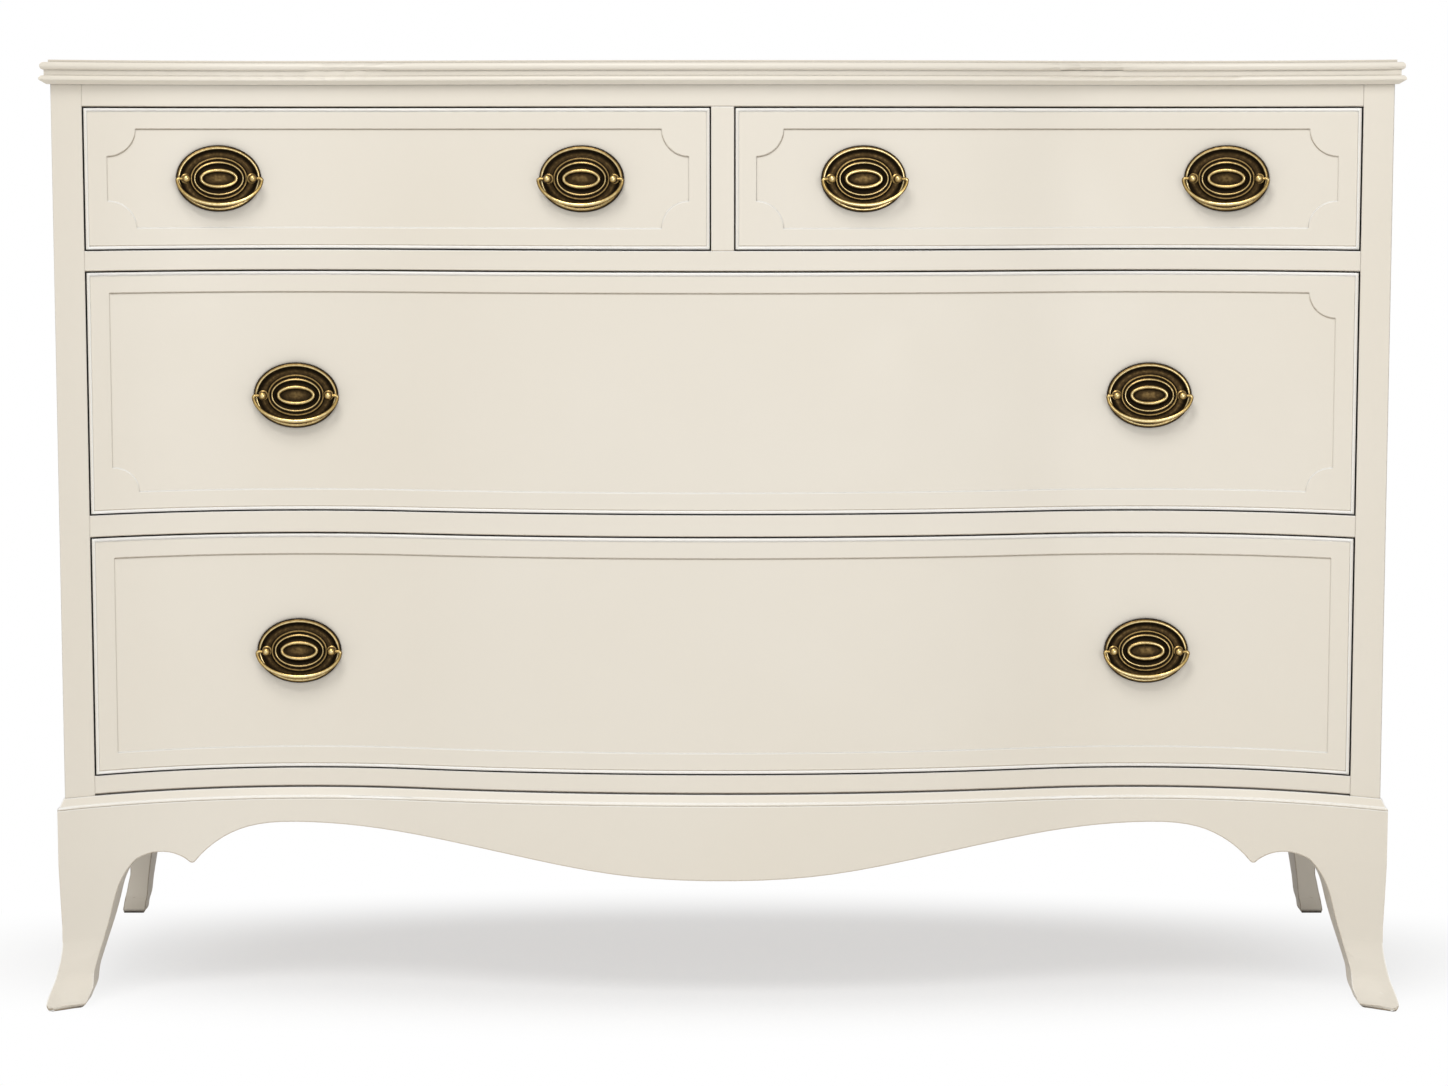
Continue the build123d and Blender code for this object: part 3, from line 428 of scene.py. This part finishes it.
def between(value, start, end):
    """How far a value has come from start to end, eased at both ends: 0 before, 1 after."""
    share = min(1.0, max(0.0, (value - start) / (end - start)))
    return share * share * (3 - 2 * share)


def toe_fullness(height):
    """How far the toe's inner corner is filled out: it grows down the toe, then rounds off."""
    widest = TOE_SPAN[1]
    if height > widest:
        return TOE_FULLNESS * between(height, *TOE_SPAN)
    below = (widest - height) / widest
    return TOE_LEAST + (TOE_FULLNESS - TOE_LEAST) * sqrt(1 - below**2)


def filled_out(place, outward):
    """Where a point of the solid foot goes: place is in metres, outward is -1 or 1 along X."""
    across, deep, height = place.x * outward / MM, place.y / MM, place.z / MM
    flare = max(0.0, 1 - abs(height - FLARE_LEVEL) / FLARE_REACH) ** 2
    kick = between(height, *KICK_SPAN)
    turn = TIP_TURN * max(0.0, 1 - height / TIP_HEIGHT)
    tip = TIP_RADIUS * (1 - sqrt(1 - turn**2))
    front, outside = between(deep, *FRONT_SPAN), between(across, *OUTSIDE_SPAN)

    front_corner = min(start + lean * height for start, lean in FRONT_CORNER)
    back_edge = BACK_EDGE[0] + BACK_EDGE[1] * height
    full = between(height, *ANKLE_SPANS[0]) * between(height, *ANKLE_SPANS[1])
    full *= between(deep, front_corner, back_edge)
    deep += BACK_FULLNESS * full - FLARE_FORWARD * flare * between(deep, *FLARE_FRONT_SPAN)
    deep = max(deep - KICK_FORWARD * kick * front, FRONT_LIMIT) + tip * front

    widened = FLARE_ASIDE * flare * between(across, *FLARE_SIDE_SPAN)
    across += widened - toe_fullness(height) * between(across, *INNER_SPAN)
    across = min(across + KICK_ASIDE * kick * outside, SIDE_LIMIT) - tip * outside
    return Vector((across * outward * MM, deep * MM, place.z))


def carved_foot(node, name, outward):
    """A smooth copy of a foot, filled out, with its toe rounded; outward is -1 or 1 along X."""
    mesh = bmesh.new()
    mesh.from_mesh(nodes[node].data)
    bmesh.ops.remove_doubles(mesh, verts=mesh.verts, dist=SAME_PLACE)
    for level in FOOT_LEVELS:
        geometry = (*mesh.verts, *mesh.edges, *mesh.faces)
        cut = (0, 0, level * MM)
        bmesh.ops.bisect_plane(mesh, geom=geometry, plane_co=cut, plane_no=(0, 0, 1))
    for vert in mesh.verts:
        vert.co = filled_out(vert.co, outward)
    rim = [
        edge
        for edge in mesh.edges
        if all(vert.co.z < ON_THE_FLOOR for vert in edge.verts)
        and edge.calc_face_angle(0.0) > RIM_ANGLE
    ]
    bmesh.ops.bevel(
        mesh, geom=rim, offset=TOE_ROUND, segments=8, profile=0.5, affect="EDGES", material=-1
    )
    data = bpy.data.meshes.new(name)
    mesh.to_mesh(data)
    mesh.free()
    data.set_sharp_from_angle(angle=SOFT_ANGLE)
    data.materials.append(JOINED_PAINT)
    piece = bpy.data.objects.new(name, data)
    bpy.context.collection.objects.link(piece)
    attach(piece, "case")
    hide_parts(node)
    print(name, len(data.polygons), "faces")


for side, outward in (("left", -1), ("right", 1)):
    carved_foot(f"front_{side}_foot", f"front_{side}_carved_foot", outward)

# %% [markdown]
# ## Rings drawn along a path
# A pull's plate is a stack of ovals, a post is a stack of circles, and a bail is one circle carried
# along a bow. All three are the same job: start from one circle, extrude its edge, and move the new
# ring to its place. Each ring also carries its rub value.


# %% Draw rings
def in_order(items):
    """Each item once, in the order met, so that a mesh comes out the same in every run."""
    return list(dict.fromkeys(items))


def draw_rings(mesh, stations, sides):
    """Carries a ring of unit radius through (matrix, rub) stations, and closes its ends."""
    rub_layer = mesh.verts.layers.float.get("rub") or mesh.verts.layers.float.new("rub")
    first, first_rub = stations[0]
    made = bmesh.ops.create_circle(mesh, segments=sides, radius=1.0, matrix=first)
    ring = made["verts"]
    for vert in ring:
        vert[rub_layer] = first_rub
    edges = in_order(edge for vert in ring for edge in vert.link_edges)
    bmesh.ops.contextual_create(mesh, geom=edges)
    place = first
    for matrix, rub in stations[1:]:
        made = bmesh.ops.extrude_edge_only(mesh, edges=edges)
        ring = [item for item in made["geom"] if isinstance(item, bmesh.types.BMVert)]
        edges = [item for item in made["geom"] if isinstance(item, bmesh.types.BMEdge)]
        bmesh.ops.transform(mesh, matrix=matrix @ place.inverted(), verts=ring)
        for vert in ring:
            vert[rub_layer] = rub
        place = matrix
    bmesh.ops.contextual_create(mesh, geom=edges)


FLANK_RUB_AND_SHADE = 0.3  # how much rub a flank keeps that faces sideways; the darker flank is partly painted shade


def finished_piece(name, mesh, material, body):
    """Turns a bmesh into a smooth piece on a body; its rub fades where it turns aside, partly as
    wear and partly as painted shade.
    """
    bmesh.ops.recalc_face_normals(mesh, faces=mesh.faces)
    mesh.normal_update()
    rub_layer = mesh.verts.layers.float["rub"]
    # Partly wear, partly painted shade: faces turned away from the front lose rub and turn darker.
    for vert in mesh.verts:
        facing = max(0.0, -vert.normal.y)
        vert[rub_layer] *= FLANK_RUB_AND_SHADE + (1 - FLANK_RUB_AND_SHADE) * facing**2
    data = bpy.data.meshes.new(name)
    mesh.to_mesh(data)
    mesh.free()
    data.shade_smooth()
    data.materials.append(material)
    piece = bpy.data.objects.new(name, data)
    bpy.context.collection.objects.link(piece)
    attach(piece, body)
    print(name, len(data.polygons), "faces")
    return piece


# %% [markdown]
# ## Where the pulls sit
# Each bail's hinge already tells where its pull is: the hinge line runs along the plate, so it
# gives the plate's own left-to-right, and the plate's back lies one known step behind it.

# %% Pull seats
BAIL_STAND = 10.0 * MM
joints = {joint["child"]: joint for joint in frame["joints"]}


def pull_seat(bail_name):
    """The plate's own frame: X along it, Y up, Z outwards, from the middle of its back."""
    hinge = joints[bail_name]
    along = -Vector(hinge["axis"]).normalized()
    up = Vector((0, 0, 1))
    out = along.cross(up)
    turn = Matrix((along, up, out)).transposed().to_4x4()
    return Matrix.Translation(Vector(hinge["pos_m"]) - out * BAIL_STAND) @ turn


SIDES = ("left", "right")
seats = {drawer: [pull_seat(f"{drawer}_{side}_bail") for side in SIDES] for drawer in DRAWERS}
print("pull seats", {drawer: len(places) for drawer, places in seats.items()})

# %% [markdown]
# ## Oval backplates
# The plate is pressed with a thick rounded rim, a shallow dish, a double ring, and a small raised
# boss with a dished centre. Its ovals aren't scaled copies of each other: the inner ones are longer
# for their height. So each ring is given by its own half length, half height, level and rub, all in
# millimetres but the last.

# %% Oval backplates
PLATE_RINGS = (
    (40.3, 31.3, 0.0, 0.1),
    (40.3, 31.3, 1.3, 0.1),
    (39.9, 30.9, 2.6, 0.1),
    (39.3, 30.3, 3.4, 0.3),
    (38.5, 29.4, 3.8, 0.5),
    (37.8, 28.7, 4.0, 0.95),
    (37.3, 28.2, 3.9, 1.0),
    (36.8, 27.7, 3.7, 0.4),
    (36.2, 27.1, 3.2, 0.1),
    (35.6, 26.5, 2.6, 0.0),
    (34.2, 25.2, 2.3, 0.05),
    (31.5, 23.0, 2.1, 0.32),
    (28.6, 21.2, 2.2, 0.22),
    (27.4, 20.3, 2.4, 0.0),
    (26.7, 19.6, 3.0, 0.3),
    (26.0, 18.9, 3.3, 0.75),
    (25.3, 18.2, 3.0, 0.2),
    (24.6, 17.4, 2.4, 0.0),
    (23.9, 16.2, 2.6, 0.1),
    (23.3, 15.4, 3.4, 0.8),
    (22.8, 14.9, 3.6, 1.0),
    (22.1, 14.2, 3.0, 0.25),
    (21.3, 13.3, 2.2, 0.0),
    (20.4, 12.0, 1.9, 0.0),
    (19.3, 10.4, 2.1, 0.0),
    (18.6, 9.6, 3.1, 0.3),
    (17.8, 8.8, 4.0, 0.7),
    (16.9, 7.9, 4.4, 1.0),
    (15.9, 6.9, 4.2, 0.8),
    (15.2, 6.2, 3.5, 0.4),
    (14.5, 5.6, 2.9, 0.05),
    (12.8, 4.8, 2.7, 0.15),
    (8.0, 3.1, 2.8, 0.3),
    (3.0, 1.4, 2.9, 0.38),
    (0.1, 0.1, 2.95, 0.34),
)
PLATE_SIDES = 96


def oval(seat, half_length, half_height, level):
    """The matrix that lays a unit ring on a plate, at a level above its back."""
    size = Matrix.Diagonal((half_length * MM, half_height * MM, MM, 1.0))
    return seat @ Matrix.Translation((0, 0, level * MM)) @ size


for drawer in DRAWERS:
    mesh = bmesh.new()
    for seat in seats[drawer]:
        stations = [(oval(seat, *size, level), rub) for *size, level, rub in PLATE_RINGS]
        draw_rings(mesh, stations, PLATE_SIDES)
    name = f"{drawer}_oval_plates"
    plates = finished_piece(name, mesh, BRASS, f"{drawer}_drawer")
    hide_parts(f"{drawer}_pull_plates")

# %% [markdown]
# ## Ball posts
# Each post is turned: a collar on the plate, a short neck and a ball that the bail's pin enters.
# Behind the drawer front, its shank and nut stay as the solids have them, so a copy of the solid is
# merged, cut off at the plate, and the turned front is drawn on the same line.

# %% Ball posts
POST_SPACING = 62.4
POST_RINGS = (
    (4.9, 1.9, 0.3),
    (4.9, 2.6, 0.7),
    (4.3, 3.2, 0.9),
    (3.3, 3.6, 0.3),
    (2.5, 4.2, 0.0),
    (2.3, 5.2, 0.1),
    (2.6, 6.3, 0.2),
)
BALL_RADIUS = 4.1
BALL_STEPS = 14
BALL_START = radians(35)
BALL_TIP = 0.02  # the last ring's radius
BALL_RUB, BALL_TIP_RUB = 0.35, 0.6  # at the neck, and what the ball's front adds
POST_SIDES = 40
POST_SHARP = radians(40)
SHANK_RUB = 0.3
SHANK_CUT = 1.0 * MM  # how far in front of the plate's back the solid's post is cut off


def post_stations(seat, across):
    """The collar, the neck and the ball of one post, from the plate outwards."""
    axis = seat @ Matrix.Translation((across, 0, 0))
    stations = [(oval(axis, radius, radius, level), rub) for radius, level, rub in POST_RINGS]
    for step in range(BALL_STEPS + 1):
        angle = BALL_START + (pi - BALL_START) * step / BALL_STEPS
        radius = max(BALL_RADIUS * sin(angle), BALL_TIP)
        level = BAIL_STAND / MM - BALL_RADIUS * cos(angle)
        rub = BALL_RUB + BALL_TIP_RUB * sin(angle / 2) ** 2
        stations.append((oval(axis, radius, radius, level), rub))
    return stations


for drawer in DRAWERS:
    mesh = bmesh.new()
    mesh.from_mesh(nodes[f"{drawer}_pull_posts"].data)
    bmesh.ops.remove_doubles(mesh, verts=mesh.verts, dist=SAME_PLACE)
    middle_x = sum(seat.translation.x for seat in seats[drawer]) / 2
    for seat, side in zip(seats[drawer], (-1, 1)):
        out = seat.to_3x3() @ Vector((0, 0, 1))
        own = [face for face in mesh.faces if (face.calc_center_median().x - middle_x) * side > 0]
        geometry = in_order(item for face in own for item in (*face.verts, *face.edges, face))
        cut = seat.translation + out * SHANK_CUT
        bmesh.ops.bisect_plane(mesh, geom=geometry, plane_co=cut, plane_no=out, clear_outer=True)
    shank_rub = mesh.verts.layers.float.new("rub")
    for vert in mesh.verts:
        vert[shank_rub] = SHANK_RUB
    for seat in seats[drawer]:
        for side in (-1, 1):
            draw_rings(mesh, post_stations(seat, side * POST_SPACING / 2 * MM), POST_SIDES)
    name = f"{drawer}_ball_posts"
    posts = finished_piece(name, mesh, BRASS, f"{drawer}_drawer")
    posts.data.set_sharp_from_angle(angle=POST_SHARP)
    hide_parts(f"{drawer}_pull_posts")

# %% [markdown]
# ## Hanging bails
# The bail is a rod that swells towards the bottom of its bow, where the fingers pull. At each end
# it turns in through a tight elbow and thins to the pin that enters the ball. The path is half an
# oval, two quarter-turn elbows and two straight pins, and the rod's radius changes along it.

# %% Hanging bails
BAIL_HALF_LENGTH = 40.0
BAIL_DROP = 24.3
ELBOW_RADIUS = 1.9
PIN_END = 32.6
PIN_SHARES = (0.0, 0.4, 0.8, 1.0)
PIN_RADIUS, PIN_SWELL = 1.38, 0.25
ELBOW_ROD, ELBOW_STEPS = 1.65, 6
PIN_RUB, ELBOW_RUB, BOW_RUB, LOW_RUB = 0.75, 0.9, 0.7, 0.3  # the bow's lowest point adds the last
BOW_START = pi + 0.075  # just below the elbow, on the oval
ROD_RADIUS, ROD_SWELL = 1.6, 0.35  # at the bow's ends, and what its lowest point adds
BOW_STEPS = 36
ROD_SIDES = 20


def bail_path():
    """Points of the bail in its own plane, in millimetres, with the rod's radius and rub: the
    left half from its pin to the bow's lowest point, and then its mirror image."""
    path = []
    for share in PIN_SHARES:
        across = -PIN_END - share * (BAIL_HALF_LENGTH - ELBOW_RADIUS - PIN_END)
        path.append((across, 0.0, PIN_RADIUS + PIN_SWELL * share**3, PIN_RUB))
    for step in range(1, ELBOW_STEPS):
        angle = pi / 2 * step / ELBOW_STEPS
        across = -BAIL_HALF_LENGTH + ELBOW_RADIUS - ELBOW_RADIUS * sin(angle)
        path.append((across, ELBOW_RADIUS * (cos(angle) - 1), ELBOW_ROD, ELBOW_RUB))
    for step in range(BOW_STEPS + 1):
        angle = BOW_START + (3 * pi / 2 - BOW_START) * step / BOW_STEPS
        low = -sin(angle)
        place = (BAIL_HALF_LENGTH * cos(angle), BAIL_DROP * sin(angle))
        path.append((*place, ROD_RADIUS + ROD_SWELL * low**2, BOW_RUB + LOW_RUB * low))
    return path + [(-x, z, radius, rub) for x, z, radius, rub in path[-2::-1]]


def bail_stations(seat):
    """A ring of the rod at each point of the path, square to it."""
    path = bail_path()
    stations = []
    for number, (x, z, radius, rub) in enumerate(path):
        before = path[max(number - 1, 0)]
        after = path[min(number + 1, len(path) - 1)]
        tangent = Vector((after[0] - before[0], after[1] - before[1], 0)).normalized()
        out = Vector((0, 0, 1))
        turn = Matrix((tangent.cross(out), out, tangent)).transposed().to_4x4()
        place = Matrix.Translation(Vector((x, z, 0)) * MM + Vector((0, 0, BAIL_STAND)))
        size = Matrix.Diagonal((radius * MM, radius * MM, MM, 1.0))
        stations.append((seat @ place @ turn @ size, rub))
    return stations


for drawer in DRAWERS:
    for seat, side in zip(seats[drawer], SIDES):
        mesh = bmesh.new()
        draw_rings(mesh, bail_stations(seat), ROD_SIDES)
        bail_name = f"{drawer}_{side}_bail"
        bail = finished_piece(f"{bail_name}_cast", mesh, BRASS, bail_name)
        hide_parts(bail_name)

# %% [markdown]
# ## The floor
# The dresser stands on a plain pale floor. A lit floor alone would go grey towards its far end, and
# a plain white one would lose the shadow. So the camera sees a blend of the two: some of the lit
# floor, with the soft shadow, under the case, and further out only the floor's own white.

# %% Floor
FLOOR_SIZE = 40.0
floor_mesh = bmesh.new()
bmesh.ops.create_grid(floor_mesh, x_segments=1, y_segments=1, size=FLOOR_SIZE / 2)
floor_data = bpy.data.meshes.new("floor")
floor_mesh.to_mesh(floor_data)
floor_mesh.free()
floor = bpy.data.objects.new("floor", floor_data)
bpy.context.collection.objects.link(floor)

SHADOW_REACH = (0.72, 0.31)  # half length and half depth of the shaded floor, in metres
FADE_START, FADE_END = 0.6, 1.35  # where the shaded floor fades, in shares of its reach
OWN_WHITE = 0.6  # the share of plain white that the floor shows the camera under the case


def floor_finish():
    """Lit floor near the case, fading to its own plain white further out, for the camera alone."""
    material, tree, shader, add = new_material("pale_floor", roughness=0.9)
    shader.inputs["Base Color"].default_value = (*grey(0.92), 1.0)
    shader.inputs["Specular IOR Level"].default_value = 0.0
    place = object_coordinates(add, scale=(1 / SHADOW_REACH[0], 1 / SHADOW_REACH[1], 1))
    away = add("ShaderNodeVectorMath", {0: place}, operation="LENGTH")
    share = add(
        "ShaderNodeMapRange",
        {
            "Value": away.outputs["Value"],
            "From Min": FADE_START,
            "From Max": FADE_END,
            "To Min": OWN_WHITE,
            "To Max": 1.0,
        },
        interpolation_type="SMOOTHSTEP",
    )
    ray = add("ShaderNodeLightPath")
    seen = maths(add, "MULTIPLY", ray.outputs["Is Camera Ray"], share.outputs["Result"])
    white = add("ShaderNodeEmission", {"Color": (1, 1, 1, 1), "Strength": 1.0})
    blend = add("ShaderNodeMixShader", {0: seen})
    tree.links.new(shader.outputs[0], blend.inputs[1])
    tree.links.new(white.outputs[0], blend.inputs[2])
    tree.links.new(blend.outputs[0], tree.nodes["Material Output"].inputs["Surface"])
    return material


floor_data.materials.append(floor_finish())
print("floor", FLOOR_SIZE, "m wide")

# %% [markdown]
# ## The room and its lamps
# The world is an even white room: it lights the piece softly from all sides, and to the camera, to
# gloss and to glass it is plain white. A large soft lamp above and in front gives the boards their
# direction. A smaller one, low and in front, lifts the apron and the feet, which the case would
# leave in its own shade.

# %% World and lamps
ROOM_LIGHT = 0.46
world = bpy.data.worlds.new("room")
world.use_nodes = True
bpy.context.scene.world = world
room = world.node_tree
background = room.nodes["Background"]
background.inputs["Color"].default_value = (1.0, 1.0, 1.0, 1.0)
ray = room.nodes.new("ShaderNodeLightPath")
seen = ray.outputs["Is Camera Ray"]
for ray_kind in ("Is Glossy Ray", "Is Transmission Ray"):
    either = room.nodes.new("ShaderNodeMath")
    either.operation = "MAXIMUM"
    room.links.new(seen, either.inputs[0])
    room.links.new(ray.outputs[ray_kind], either.inputs[1])
    seen = either.outputs[0]
strength = room.nodes.new("ShaderNodeMapRange")
strength.inputs["To Min"].default_value = ROOM_LIGHT
strength.inputs["To Max"].default_value = 1.0
room.links.new(seen, strength.inputs["Value"])
room.links.new(strength.outputs["Result"], background.inputs["Strength"])


def soft_lamp(name, place, aim, size, power):
    """A square area lamp that looks at a point."""
    data = bpy.data.lights.new(name, "AREA")
    data.shape = "SQUARE"
    data.size = size
    data.energy = power
    lamp = bpy.data.objects.new(name, data)
    lamp.location = place
    lamp.rotation_euler = (Vector(aim) - Vector(place)).to_track_quat("-Z", "Y").to_euler()
    bpy.context.collection.objects.link(lamp)
    print(name, power, "W")


soft_lamp("key_lamp", (-0.7, -2.4, 3.5), (0, 0, 0.4), 1.6, 71.0)
soft_lamp("fill_lamp", (1.4, -3.6, 0.7), (0, 0, 0.2), 1.2, 14.5)

bpy.context.scene.view_settings.view_transform = "Standard"
